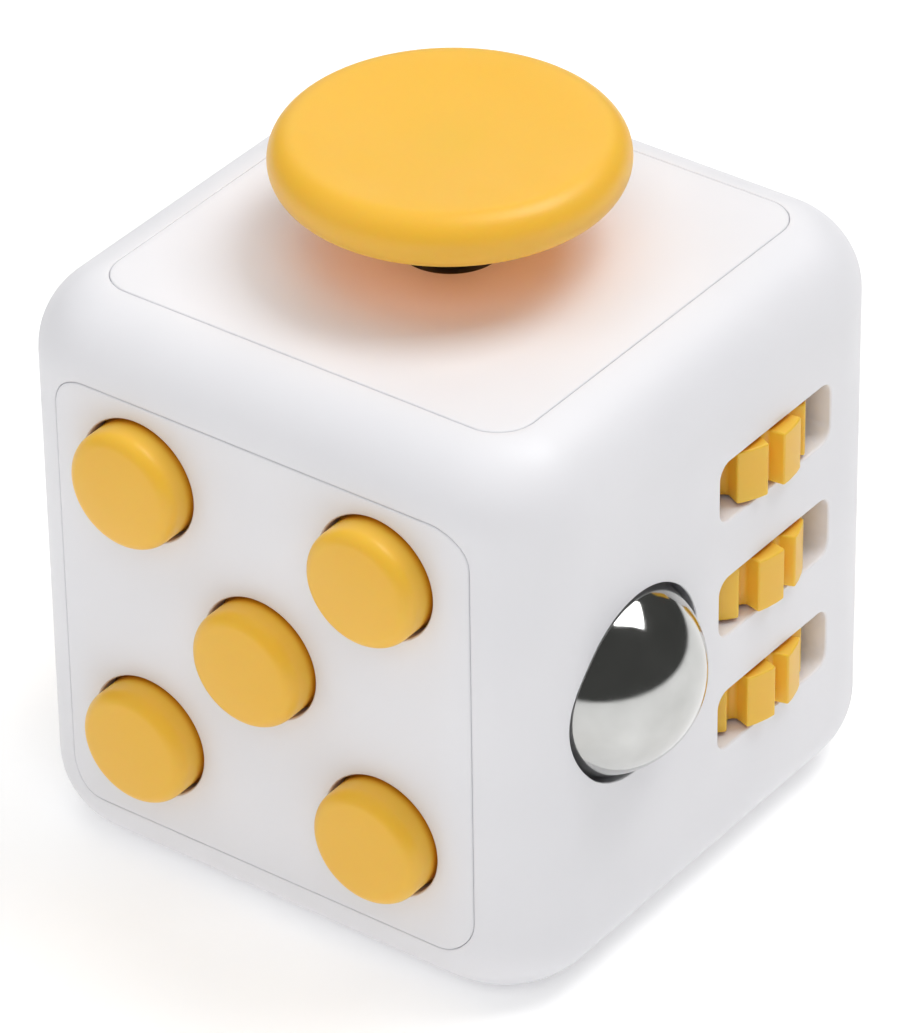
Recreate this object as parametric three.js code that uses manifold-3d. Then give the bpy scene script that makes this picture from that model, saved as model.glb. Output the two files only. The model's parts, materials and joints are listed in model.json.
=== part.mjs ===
// Fidget cube: a hand toy with a different little mechanism on each of its six faces.
// Millimetres, +Z up, origin at the centre of the bottom face.
// Faces: +Z joystick, -Y five buttons, +X steel ball and three thumb wheels,
// -X rocker switch, +Y spinning dial, -Z thumb dish.

import * as THREE from 'three';
import { mergeVertices } from 'three/addons/utils/BufferGeometryUtils.js';
import Module from 'manifold-3d';

const wasm = await Module();
wasm.setup();

// ---- Driving dimensions -------------------------------------------------

const SIDE = 33;                 // edge length of the body
const HALF = SIDE / 2;
const EDGE_R = 5.6;              // fillet of the four upright edges
const RIM_R = 4.2;               // fillet round the top and the bottom
const WALL = 2.2;                // wall of the housing
const PLATE = 1.2;               // thickness of the plates let into five faces
const PLATE_HALF = 12.85;        // half the side of a plate's opening
const PLATE_CORNER = 2.2;
const LEDGE = 0.7;               // ledge that each plate rests on
const SEAM = 0.1;                // gap between a plate and the housing
const CLEAR = 0.1;               // general gap between neighbouring pieces

const PIN_GAP = 0.09;            // gap round a pin that turns in a bore
const HEAD_GAP = 0.03;           // gap between a screw's head and what it clamps

const SCREW = { shank: 0.55, bore: 0.65, head: 1.2, headHeight: 0.8, tip: 0.4 };

// Heights in these tables are measured outwards from the face's plane.
const STICK = {
  pivot: -5.0,                   // gimbal centre
  capR: 9.15, capTop: 6.75, capUnder: 3.75, dishR: 6.9, dishDepth: 0.45,
  coneR: 5.0, coneFoot: 2.05, coneTip: 1.9, socketR: 1.0, socketDepth: 1.5,
  holeR: 2.65, domeR: 4.53, domeFoot: -2.4, neckR: 1.3, tenonR: 0.9, stemR: 1.5, foot: -9.0,
  collarR: 2.7, collar: [-7.1, -6.9, -6.4, -6.2],
  ringInner: 3.1, ringOuter: 4.4, ringHalf: 0.8, pinR: 0.5, pinEnd: 4.0,
  cupInner: 5.5, cupOuter: 6.3, cupTop: -2.1, cupFoot: -11.4, cupFloor: 1.0, flangeR: 8.9,
  screwRing: 7.6, screwLength: 2.2, bossR: 1.5, boreTop: -0.7,
  springR: 2.35, springWire: 0.25, springTurns: 4, springTop: -6.95,
};

const BUTTON = {
  dx: 7.38, dy: 7.84, lift: 0.55, capR: 3.28, holeR: 3.46, proud: 1.9, round: 0.75, crown: 0.15,
  flangeR: 3.62, flangeTop: 1.3, flangeFoot: 2.1, nubR: 1.2, nubFoot: 2.6,
  domeR: 2.6, domeTop: 2.7, steelSkin: 0.15, siliconeSkin: 0.4,
  plateTop: 3.95, plateFoot: 4.95, plateHalf: 11.3, bossR: 1.5, bossReach: 9.6, bossSide: 9.3,
  boreTop: -1.0, screwLength: 2.8,
};
const BUTTON_SITES = [
  [-BUTTON.dx, BUTTON.lift + BUTTON.dy],
  [BUTTON.dx, BUTTON.lift + BUTTON.dy],
  [0, BUTTON.lift],
  [-BUTTON.dx, BUTTON.lift - BUTTON.dy],
  [BUTTON.dx, BUTTON.lift - BUTTON.dy],
];
const BUTTON_BOSSES = [
  [0, BUTTON.lift + BUTTON.bossReach],
  [0, BUTTON.lift - BUTTON.bossReach],
  [-BUTTON.bossSide, BUTTON.lift],
];

const BALL = {
  u: -7.2, v: 0.45, depth: 2.3, r: 5.45, mouthR: 5.75, socketR: 5.57, cupR: 5.95,
  cupRim: 4.1, cupFoot: 9.0, cupFloor: 0.8, cupBoreR: 1.4, seatR: 3.25,
  ringInner: 1.5, ringOuter: 3.15, ringTop: -4.68, ringSlope: 0.7, ringGap: 0.08,
  domeR: 3.0, domeGap: 0.04, postV: 8.4, postR: 1.6,
  bracketTop: 10.4, bracketFoot: 11.2, bracketHalf: 3.5, bracketReach: 10.1, notchHalf: 5.0,
  notchFrom: 6.4, boreDepth: 4.4, screwLength: 4.2,
};

const WHEEL = {
  u: 4.95, v: 0.55, pitch: 7.0, tipR: 5.2, rootR: 4.2, teeth: 11, toothShare: 0.62,
  flare: 0.05, crownDrop: 0.25, crownInset: 0.07,
  proud: 0.7, thick: 3.1, boreR: 1.08, axleR: 1.0, slotHalf: 4.93, slotHeight: 3.5,
  slotCorner: 0.8, spacerR: 1.7, phases: [-25.7, -11.3, -17.7],
  earGap: 0.9, earThick: 1.1, earReach: 1.9, earBack: 1.33,
  plateTop: 10.0, plateFoot: 10.8, plateU: 6.7, plateHalf: 3.1, plateCorner: 0.6,
  postU: 8.4, postV: 3.5, postR: 1.3,
  combU: [3.9, 4.5, 7.0], combEnd: 8.4, combHalf: 0.7, combSkin: 0.15, combGap: 0.04,
};

const ROCKER = {
  pivot: 2.1, tilt: 12, halfWidth: 4.0, reach: 7.2, floor: 2.607, skirt: -8, bossHalf: 2.2,
  bossTop: -2.2, bossFoot: -3.6, openHalfWidth: 4.25, openHalfLength: 8.6, pinR: 0.75,
  pinHole: 0.81, pinBore: 0.84, earInner: 4.35, earOuter: 5.6, earHalf: 1.8, earDrop: 1.6,
  plungerR: 0.9, plungerTip: 5.2, plungerTop: -3.1, wellR: 0.98, wellTop: -1.3,
  springR: 0.6, springWire: 0.12, springTurns: 4, springEnd: 0.05,
  baseTop: 7.8, baseFoot: 8.7, baseHalf: 3.0, baseCorner: 1.2, baseReach: 11.7,
  sweepR: 5.5, sweepHalf: 1.6, rampHalf: 2.4, rampReach: 3.2, rampRise: 1.2, rampRoot: 0.2,
  postV: 10.2, postR: 1.4, boreTop: -3.6, screwLength: 4.4,
};

const DIAL = {
  r: 9.6, proud: 1.3, round: 0.7, sunk: 0.6, edge: 0.2, recessR: 9.9, recess: 0.7,
  dimpleAt: 4.8, dimpleR: 3.5, dimpleDepth: 0.9, shaftR: 2.0, shaftFoot: 3.3, boreTop: -1.2,
  bushInner: 2.08, bushOuter: 2.6, bushGap: 0.05, boreR: 2.66, bossR: 4.4, bossFoot: 3.2,
  washerBore: 0.7, washerR: 3.6, washerFoot: 3.95, screwLength: 2.2,
};

const DISH = { r: 9.4, depth: 1.7, bossR: 10.8, bossFoot: 3.0 };

const BOSS_ROOT = -0.9;          // where a boss grows out of its plate
const WALL_ROOT = -1.5;          // where a boss grows out of the housing's wall

// ---- Finishes -----------------------------------------------------------

const finish = {
  white: new THREE.MeshStandardMaterial({ color: 0xeeeef1, roughness: 0.38, metalness: 0 }),
  yellow: new THREE.MeshStandardMaterial({ color: 0xfdc455, roughness: 0.36, metalness: 0 }),
  dark: new THREE.MeshStandardMaterial({ color: 0x2b2b2d, roughness: 0.5, metalness: 0 }),
  steel: new THREE.MeshStandardMaterial({ color: 0xc9cbce, roughness: 0.08, metalness: 1 }),
  zinc: new THREE.MeshStandardMaterial({ color: 0xa9abad, roughness: 0.35, metalness: 1 }),
  brass: new THREE.MeshStandardMaterial({ color: 0xb9964f, roughness: 0.3, metalness: 1 }),
  rubber: new THREE.MeshStandardMaterial({ color: 0xd9d9d6, roughness: 0.7, metalness: 0 }),
};

// ---- Geometry helpers ---------------------------------------------------

// Closed geometry to solid, and back.
function solid(geometry) {
  const bare = geometry.clone();
  for (const name of Object.keys(bare.attributes)) {
    if (name !== 'position') bare.deleteAttribute(name);
  }
  const merged = mergeVertices(bare, 1e-5);
  const vertProperties = new Float32Array(merged.attributes.position.array);
  const triVerts = new Uint32Array(merged.index.array);
  return new wasm.Manifold(new wasm.Mesh({ numProp: 3, vertProperties, triVerts }));
}

function geometryOf(body) {
  const mesh = body.getMesh();
  const geometry = new THREE.BufferGeometry();
  geometry.setAttribute('position', new THREE.Float32BufferAttribute(mesh.vertProperties, 3));
  geometry.setIndex(new THREE.Uint32BufferAttribute(mesh.triVerts, 1));
  geometry.computeVertexNormals();
  return geometry;
}

function join(first, ...others) {
  return others.reduce((sum, piece) => sum.add(piece), first);
}

function cut(first, ...others) {
  return others.reduce((rest, piece) => rest.subtract(piece), first);
}

// Turned piece about +Z from a profile of [radius, height] points, listed upwards on the
// outside and closed on the axis or on its own first point.
function turned(profile, segments = 24) {
  const points = profile.map(([r, h]) => new THREE.Vector2(r, h));
  return new THREE.LatheGeometry(points, segments).rotateX(Math.PI / 2);
}

// Profile of a tube between two radii and two heights.
function tubeProfile(inner, outer, low, high) {
  return [[inner, low], [outer, low], [outer, high], [inner, high], [inner, low]];
}

function rod(r, low, high, segments = 20) {
  return turned([[0, low], [r, low], [r, high], [0, high]], segments);
}

function tube(inner, outer, low, high, segments = 24) {
  return turned(tubeProfile(inner, outer, low, high), segments);
}

// Points of an arc in a profile, centre (cr, ch), angles in degrees.
function arc(cr, ch, r, from, to, steps) {
  const points = [];
  for (let i = 0; i <= steps; i += 1) {
    const a = THREE.MathUtils.degToRad(from + (to - from) * i / steps);
    points.push([cr + r * Math.cos(a), ch + r * Math.sin(a)]);
  }
  return points;
}

function roundedRectangle(halfX, halfY, r, corner = 5) {
  const shape = new THREE.Shape();
  const centres = [[1, -1, -90], [1, 1, 0], [-1, 1, 90], [-1, -1, 180]];
  const points = centres.flatMap(([sx, sy, from]) =>
    arc(sx * (halfX - r), sy * (halfY - r), r, from, from + 90, corner));
  shape.setFromPoints(points.map(([x, y]) => new THREE.Vector2(x, y)));
  return shape;
}

function extruded(shape, low, high) {
  const options = { depth: high - low, bevelEnabled: false, curveSegments: 10 };
  return new THREE.ExtrudeGeometry(shape, options).translate(0, 0, low);
}

function block(x0, x1, y0, y1, z0, z1) {
  const box = new THREE.BoxGeometry(x1 - x0, y1 - y0, z1 - z0);
  return box.translate((x0 + x1) / 2, (y0 + y1) / 2, (z0 + z1) / 2);
}

// Block with a square plan, filleted upright edges and filleted rims, standing on z = low.
function filletedBlock(half, height, edgeR, rimR, low, corner = 6, rim = 5) {
  const rings = [];
  for (let end = 0; end < 2; end += 1) {
    for (let i = 0; i <= rim; i += 1) {
      const a = (end === 0 ? i : rim - i) / rim * Math.PI / 2;
      const inset = rimR * (1 - Math.sin(a));
      const rise = rimR * (1 - Math.cos(a));
      const z = end === 0 ? rise : height - rise;
      const h = half - inset;
      const outline = roundedRectangle(h, h, edgeR - inset, corner).getPoints();
      rings.push(outline.map((p) => [p.x, p.y, low + z]));
    }
  }
  const count = rings[0].length;
  const index = [];
  for (let k = 0; k + 1 < rings.length; k += 1) {
    for (let i = 0; i < count; i += 1) {
      const a = k * count + i;
      const b = k * count + (i + 1) % count;
      index.push(a, b, b + count, a, b + count, a + count);
    }
  }
  const top = (rings.length - 1) * count;
  for (let i = 1; i + 1 < count; i += 1) {
    index.push(0, i + 1, i, top, top + i, top + i + 1);
  }
  const geometry = new THREE.BufferGeometry();
  geometry.setAttribute('position', new THREE.Float32BufferAttribute(rings.flat(2), 3));
  geometry.setIndex(index);
  return geometry;
}

// Coil spring along +Z, flat enough at both ends to stand between two plates.
class Coil extends THREE.Curve {
  constructor(r, low, high, turns) {
    super();
    Object.assign(this, { r, low, high, turns });
  }

  getPoint(t, target = new THREE.Vector3()) {
    const a = t * this.turns * 2 * Math.PI;
    const z = this.low + (this.high - this.low) * t;
    return target.set(this.r * Math.cos(a), this.r * Math.sin(a), z);
  }
}

function coilSpring(r, wireR, low, high, turns) {
  const wire = new THREE.Shape();
  wire.absarc(0, 0, wireR, 0, 2 * Math.PI);
  const path = new Coil(r, low + wireR, high - wireR, turns);
  const options = { steps: Math.round(turns * 9), extrudePath: path, curveSegments: 2 };
  return new THREE.ExtrudeGeometry(wire, options);
}

// Thin shell cap standing on z = low with its crown at z = high.
function snapDome(baseR, low, high, skin = 0.18) {
  const rise = high - low;
  return turned([
    [0, high - skin], [baseR * 0.35, high - skin], [baseR * 0.8, low + skin + rise * 0.25],
    [baseR * 0.86, low], [baseR, low], [baseR, low + skin],
    [baseR * 0.92, low + skin + rise * 0.3], [baseR * 0.42, high], [0, high],
  ], 12);
}

// Pan-head screw: head below z = 0, shank along +Z.
function panScrew(length) {
  const { shank, head, headHeight } = SCREW;
  return turned([
    [0, -headHeight], [head * 0.72, -headHeight], [head, -headHeight * 0.6], [head, 0],
    [shank, 0], [shank, length - SCREW.tip], [shank * 0.4, length], [0, length],
  ], 10);
}

// ---- Face frames: local +Z points out of the face, +Y up the side faces --------

function frame(x, y, z, origin) {
  const matrix = new THREE.Matrix4();
  matrix.makeBasis(new THREE.Vector3(...x), new THREE.Vector3(...y), new THREE.Vector3(...z));
  return matrix.setPosition(new THREE.Vector3(...origin));
}

const face = {
  top: frame([1, 0, 0], [0, 1, 0], [0, 0, 1], [0, 0, SIDE]),
  bottom: frame([1, 0, 0], [0, -1, 0], [0, 0, -1], [0, 0, 0]),
  front: frame([1, 0, 0], [0, 0, 1], [0, -1, 0], [0, -HALF, HALF]),
  back: frame([-1, 0, 0], [0, 0, 1], [0, 1, 0], [0, HALF, HALF]),
  right: frame([0, 1, 0], [0, 0, 1], [1, 0, 0], [HALF, 0, HALF]),
  left: frame([0, -1, 0], [0, 0, 1], [-1, 0, 0], [-HALF, 0, HALF]),
};

function onFace(name, geometry) {
  return solid(geometry.clone().applyMatrix4(face[name]));
}

// Cylinder or tube standing on a face at (u, v).
function peg(name, u, v, r, low, high, segments = 20) {
  return onFace(name, rod(r, low, high, segments).translate(u, v, 0));
}

const cube = new THREE.Group();

function add(parent, name, geometry, material) {
  const mesh = new THREE.Mesh(geometry, material);
  mesh.name = name;
  parent.add(mesh);
  return mesh;
}

function addSolid(name, body, material) {
  return add(cube, name, geometryOf(body), material);
}

function faceGroup(name) {
  const group = new THREE.Group();
  group.applyMatrix4(face[name]);
  cube.add(group);
  return group;
}

// ---- Housing and plates ---------------------------------------------------

const outer = solid(filletedBlock(HALF, SIDE, EDGE_R, RIM_R, 0));
const hollow = solid(filletedBlock(
  HALF - WALL, SIDE - 2 * WALL, EDGE_R - WALL, RIM_R - WALL, WALL, 4, 2,
));

function opening(name) {
  const wide = roundedRectangle(PLATE_HALF, PLATE_HALF, PLATE_CORNER);
  const inner = roundedRectangle(PLATE_HALF - LEDGE, PLATE_HALF - LEDGE, PLATE_CORNER - LEDGE / 2);
  return join(
    onFace(name, extruded(wide, -PLATE, 1)),
    onFace(name, extruded(inner, -WALL - 0.4, -PLATE + 0.01)),
  );
}

function plate(name) {
  const half = PLATE_HALF - SEAM;
  const shape = roundedRectangle(half, half, PLATE_CORNER - SEAM);
  return outer.intersect(onFace(name, extruded(shape, -PLATE + 0.05, 1)));
}

// Boss with a blind screw bore, on the inside of a plate or wall.
function boss(name, u, v, r, low, high) {
  return peg(name, u, v, r, low, high, 16);
}

function bore(name, u, v, low, high) {
  return peg(name, u, v, SCREW.bore, low, high, 12);
}

const plated = ['top', 'bottom', 'front', 'back', 'left'];
let housing = cut(outer, hollow, ...plated.map(opening));

const wheelAxis = WHEEL.proud - WHEEL.tipR;
const wheelSites = [1, 0, -1].map((k) => WHEEL.v + k * WHEEL.pitch);
const ballPosts = [1, -1].map((k) => BALL.v + k * BALL.postV);
const wheelPosts = [1, -1].map((k) => WHEEL.v + k * WHEEL.postV);

housing = join(
  housing,
  ...ballPosts.map((v) =>
    boss('right', BALL.u, v, BALL.postR, CLEAR - BALL.bracketTop, WALL_ROOT)),
  ...wheelPosts.map((v) =>
    boss('right', WHEEL.postU, v, WHEEL.postR, CLEAR - WHEEL.plateTop, WALL_ROOT)),
);
const slot = roundedRectangle(WHEEL.slotHalf, WHEEL.slotHeight / 2, WHEEL.slotCorner, 4);
const mouth = new THREE.SphereGeometry(BALL.mouthR, 28, 16).rotateX(Math.PI / 2);
housing = cut(
  housing,
  onFace('right', mouth.translate(BALL.u, BALL.v, -BALL.depth)),
  peg('right', BALL.u, BALL.v, BALL.mouthR, -WALL - 1, -BALL.depth, 28),
  ...wheelSites.map((v) => onFace('right', extruded(slot, -WALL - 1, 1).translate(WHEEL.u, v, 0))),
  ...ballPosts.map((v) =>
    bore('right', BALL.u, v, -BALL.bracketTop - 1, -BALL.bracketTop + BALL.boreDepth)),
  ...wheelPosts.map((v) =>
    bore('right', WHEEL.postU, v, -WHEEL.plateTop - 1, -WHEEL.plateTop + BALL.boreDepth)),
);
addSolid('housing', housing, finish.white);

// ---- Top: joystick ----------------------------------------------------------

const stickScrews = [90, 210, 330].map((a) => THREE.MathUtils.degToRad(a))
  .map((a) => [STICK.screwRing * Math.cos(a), STICK.screwRing * Math.sin(a)]);

let topPlate = join(
  plate('top'),
  ...stickScrews.map(([u, v]) =>
    boss('top', u, v, STICK.bossR, STICK.cupTop + CLEAR, BOSS_ROOT)),
);
topPlate = cut(
  topPlate,
  peg('top', 0, 0, STICK.holeR, -PLATE - 1, 1, 28),
  ...stickScrews.map(([u, v]) => bore('top', u, v, STICK.cupTop - 1, STICK.boreTop)),
);
addSolid('top_panel', topPlate, finish.white);

const joystick = faceGroup('top');

const capMid = (STICK.capUnder + STICK.capTop) / 2;
const capRound = (STICK.capTop - STICK.capUnder) / 2;
const bowl = [];
for (let i = 0; i <= 3; i += 1) {
  const r = STICK.dishR * (1 - i / 3);
  bowl.push([r, STICK.capTop - STICK.dishDepth * (1 - (r / STICK.dishR) ** 2)]);
}
const socketTop = STICK.capUnder + STICK.socketDepth;
add(joystick, 'joystick_cap', turned([
  [0, socketTop],
  [STICK.socketR, socketTop],
  [STICK.socketR, STICK.coneFoot],
  [STICK.coneTip, STICK.coneFoot],
  [STICK.coneR, STICK.capUnder],
  ...arc(STICK.capR - capRound, capMid, capRound, -90, 90, 8),
  ...bowl,
], 32), finish.yellow);

// A ball joint's dome fills the hole in the plate, whichever way the stick leans.
const domeFrom = THREE.MathUtils.radToDeg(
  Math.asin((STICK.domeFoot - STICK.pivot) / STICK.domeR));
const domeTo = THREE.MathUtils.radToDeg(Math.acos(STICK.neckR / STICK.domeR));
const stemTurned = turned([
  [0, STICK.foot],
  [STICK.stemR, STICK.foot],
  [STICK.stemR, STICK.collar[0]],
  [STICK.collarR, STICK.collar[1]],
  [STICK.collarR, STICK.collar[2]],
  [STICK.stemR, STICK.collar[3]],
  [STICK.stemR, STICK.domeFoot],
  ...arc(0, STICK.pivot, STICK.domeR, domeFrom, domeTo, 4),
  [STICK.neckR, STICK.coneFoot - 0.05],
  [STICK.tenonR, STICK.coneFoot - 0.05],
  [STICK.tenonR, socketTop - 0.1],
  [0, socketTop - 0.1],
], 20);
const crossPin = rod(STICK.pinR, -STICK.pinEnd, STICK.pinEnd, 12).rotateX(Math.PI / 2)
  .translate(0, 0, STICK.pivot);
add(joystick, 'joystick_stem', geometryOf(join(solid(stemTurned), solid(crossPin))),
  finish.dark);

const ringBody = solid(tube(STICK.ringInner, STICK.ringOuter, -STICK.ringHalf, STICK.ringHalf));
const trunnion = (side) => solid(rod(STICK.pinR, STICK.ringInner + 0.4, STICK.cupOuter - 0.2, 12)
  .rotateY(side * Math.PI / 2));
const crossBore = solid(rod(STICK.pinR + PIN_GAP, -STICK.cupInner, STICK.cupInner, 12)
  .rotateX(Math.PI / 2));
const ring = cut(join(ringBody, trunnion(1), trunnion(-1)), crossBore);
const gimbal = add(joystick, 'gimbal_ring', geometryOf(ring), finish.dark);
gimbal.position.z = STICK.pivot;

const cup = solid(turned([
  [0, STICK.cupFoot],
  [STICK.cupOuter, STICK.cupFoot],
  [STICK.cupOuter, STICK.cupTop - STICK.cupFloor],
  [STICK.flangeR, STICK.cupTop - STICK.cupFloor],
  [STICK.flangeR, STICK.cupTop],
  [STICK.cupInner, STICK.cupTop],
  [STICK.cupInner, STICK.cupFoot + STICK.cupFloor],
  [0, STICK.cupFoot + STICK.cupFloor],
], 24));
const trunnionBore = solid(rod(STICK.pinR + PIN_GAP, -HALF, HALF, 12).rotateY(Math.PI / 2)
  .translate(0, 0, STICK.pivot));
const stickScrewBores = stickScrews.map(([u, v]) =>
  solid(rod(SCREW.bore, STICK.cupTop - 2, STICK.cupTop + 1, 12).translate(u, v, 0)));
add(joystick, 'joystick_cup', geometryOf(cut(cup, trunnionBore, ...stickScrewBores)),
  finish.dark);

add(joystick, 'joystick_spring', coilSpring(STICK.springR, STICK.springWire,
  STICK.cupFoot + STICK.cupFloor + 0.05, STICK.springTop, STICK.springTurns), finish.zinc);
stickScrews.forEach(([u, v], i) => {
  const screw = panScrew(STICK.screwLength);
  const mesh = add(joystick, `joystick_screw_${i + 1}`, screw, finish.zinc);
  mesh.position.set(u, v, STICK.cupTop - STICK.cupFloor - HEAD_GAP);
});

// ---- Front: five buttons ------------------------------------------------------

let frontPlate = join(
  plate('front'),
  ...BUTTON_BOSSES.map(([u, v]) =>
    boss('front', u, v, BUTTON.bossR, CLEAR - BUTTON.plateTop, BOSS_ROOT)),
);
frontPlate = cut(
  frontPlate,
  ...BUTTON_SITES.map(([u, v]) => peg('front', u, v, BUTTON.holeR, -PLATE - 1, 1, 24)),
  ...BUTTON_BOSSES.map(([u, v]) =>
    bore('front', u, v, -BUTTON.plateTop - 1, BUTTON.boreTop)),
);
addSolid('front_panel', frontPlate, finish.white);

const buttons = faceGroup('front');
const buttonProfile = [
  [0, -BUTTON.nubFoot],
  [BUTTON.nubR, -BUTTON.nubFoot],
  [BUTTON.nubR, -BUTTON.flangeFoot],
  [BUTTON.flangeR, -BUTTON.flangeFoot],
  [BUTTON.flangeR, -BUTTON.flangeTop],
  [BUTTON.capR, -BUTTON.flangeTop],
  ...arc(BUTTON.capR - BUTTON.round, BUTTON.proud - BUTTON.crown - BUTTON.round, BUTTON.round,
    0, 80, 3),
  [BUTTON.capR * 0.4, BUTTON.proud - BUTTON.crown * 0.2],
  [0, BUTTON.proud],
];
const SILENT = [1, 3];           // these buttons rest on silicone instead of a snap dome
BUTTON_SITES.forEach(([u, v], i) => {
  const cap = add(buttons, `button_cap_${i + 1}`, turned(buttonProfile, 22), finish.yellow);
  cap.position.set(u, v, 0);
  const silent = SILENT.includes(i);
  const name = silent ? `silicone_dome_${i + 1}` : `snap_dome_${i + 1}`;
  const skin = silent ? BUTTON.siliconeSkin : BUTTON.steelSkin;
  const height = BUTTON.plateTop - BUTTON.domeTop - HEAD_GAP;
  const dome = add(buttons, name, snapDome(BUTTON.domeR, 0, height, skin),
    silent ? finish.rubber : finish.steel);
  dome.position.set(u, v, HEAD_GAP - BUTTON.plateTop);
});

const ballNotch = block(BALL.notchFrom, HALF, BALL.v - BALL.notchHalf, BALL.v + BALL.notchHalf,
  -BUTTON.plateFoot - 1, 0);
const backplateShape = roundedRectangle(BUTTON.plateHalf, BUTTON.plateHalf, PLATE_CORNER);
const backplate = cut(
  onFace('front', extruded(backplateShape, -BUTTON.plateFoot, -BUTTON.plateTop)),
  onFace('front', ballNotch),
  ...BUTTON_BOSSES.map(([u, v]) =>
    bore('front', u, v, -BUTTON.plateFoot - 1, -BUTTON.plateTop + 1)),
);
addSolid('button_backplate', backplate, finish.dark);
BUTTON_BOSSES.forEach(([u, v], i) => {
  const screw = panScrew(BUTTON.screwLength);
  const mesh = add(buttons, `button_screw_${i + 1}`, screw, finish.zinc);
  mesh.position.set(u, v, -BUTTON.plateFoot - HEAD_GAP);
});

// ---- Right: steel ball in a cup that clicks inwards -----------------------------

const roll = faceGroup('right');
const ballGroup = new THREE.Group();
ballGroup.position.set(BALL.u, BALL.v, -BALL.depth);
roll.add(ballGroup);

const sphere = new THREE.SphereGeometry(BALL.r, 28, 16).rotateX(Math.PI / 2);
add(ballGroup, 'steel_ball', sphere, finish.steel);

// Heights from the ball's centre.
const cupRimH = BALL.depth - BALL.cupRim;
const cupFootH = BALL.depth - BALL.cupFoot;
const seatFloor = cupFootH + BALL.cupFloor;
const rimAngle = THREE.MathUtils.radToDeg(Math.asin(cupRimH / BALL.socketR));
const seatAngle = -THREE.MathUtils.radToDeg(Math.acos(BALL.seatR / BALL.socketR));
add(ballGroup, 'ball_cup', turned([
  [BALL.cupBoreR, cupFootH],
  [BALL.cupR, cupFootH],
  [BALL.cupR, cupRimH],
  ...arc(0, 0, BALL.socketR, rimAngle, seatAngle, 4),
  [BALL.seatR, seatFloor],
  [BALL.cupBoreR, seatFloor],
  [BALL.cupBoreR, cupFootH],
], 24), finish.dark);
const ringFloor = seatFloor + BALL.ringGap;
add(ballGroup, 'ball_seat_ring', turned([
  [BALL.ringInner, ringFloor],
  [BALL.ringOuter, ringFloor],
  [BALL.ringOuter, BALL.ringTop],
  [BALL.ringInner, BALL.ringTop - BALL.ringSlope],
  [BALL.ringInner, ringFloor],
], 24), finish.brass);
const clickHeight = BALL.bracketTop - BALL.cupFoot - 2 * BALL.domeGap;
const ballDome = add(ballGroup, 'ball_click_dome', snapDome(BALL.domeR, 0, clickHeight),
  finish.steel);
ballDome.position.z = BALL.depth - BALL.bracketTop + BALL.domeGap;

const bracketBar = roundedRectangle(BALL.bracketHalf, BALL.bracketReach, 1.4, 4);
const ballBracket = cut(
  onFace('right', extruded(bracketBar, -BALL.bracketFoot, -BALL.bracketTop)
    .translate(BALL.u, BALL.v, 0)),
  ...ballPosts.map((v) =>
    bore('right', BALL.u, v, -BALL.bracketFoot - 1, -BALL.bracketTop + 1)),
);
addSolid('ball_bracket', ballBracket, finish.dark);
ballPosts.forEach((v, i) => {
  const screw = add(roll, `ball_screw_${i + 1}`, panScrew(BALL.screwLength), finish.zinc);
  screw.position.set(BALL.u, v, -BALL.bracketFoot - HEAD_GAP);
});

// ---- Right: three thumb wheels on one upright axle --------------------------------

// Toothed outline with flat-topped teeth and slanting flanks.
function toothedShape() {
  const step = 2 * Math.PI / WHEEL.teeth;
  const tip = step * WHEEL.toothShare / 2;
  const root = tip + step * WHEEL.flare;
  const points = [];
  for (let k = 0; k < WHEEL.teeth; k += 1) {
    const a = k * step;
    const crown = tip - WHEEL.crownInset;
    const shoulder = WHEEL.tipR - WHEEL.crownDrop;
    for (const [r, off] of [[WHEEL.rootR, -root], [shoulder, -tip], [WHEEL.tipR, -crown],
      [WHEEL.tipR, crown], [shoulder, tip], [WHEEL.rootR, root]]) {
      points.push(new THREE.Vector2(r * Math.cos(a + off), r * Math.sin(a + off)));
    }
  }
  const shape = new THREE.Shape(points);
  shape.holes.push(new THREE.Path().absarc(0, 0, WHEEL.boreR, 0, 2 * Math.PI, true));
  return shape;
}

// The axle stands along the cube's Z axis: its group has local +Z up.
const axleGroup = new THREE.Group();
axleGroup.position.set(HALF + wheelAxis, WHEEL.u, HALF + WHEEL.v);
cube.add(axleGroup);
const wheelHalf = WHEEL.thick / 2;
[1, 0, -1].forEach((k, i) => {
  const wheel = add(axleGroup, `thumb_wheel_${i + 1}`,
    extruded(toothedShape(), -wheelHalf, wheelHalf), finish.yellow);
  wheel.position.z = k * WHEEL.pitch;
  wheel.rotation.z = THREE.MathUtils.degToRad(WHEEL.phases[i]);
});
const spacerHalf = WHEEL.pitch / 2 - wheelHalf - CLEAR;
[0.5, -0.5].forEach((k, i) => {
  const spacer = add(axleGroup, `wheel_spacer_${i + 1}`,
    tube(WHEEL.boreR, WHEEL.spacerR, -spacerHalf, spacerHalf, 20), finish.dark);
  spacer.position.z = k * WHEEL.pitch;
});
const earIn = WHEEL.pitch + wheelHalf + WHEEL.earGap;
const earOut = earIn + WHEEL.earThick;
add(axleGroup, 'wheel_axle', rod(WHEEL.axleR, -earOut, earOut, 20), finish.steel);

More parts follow.
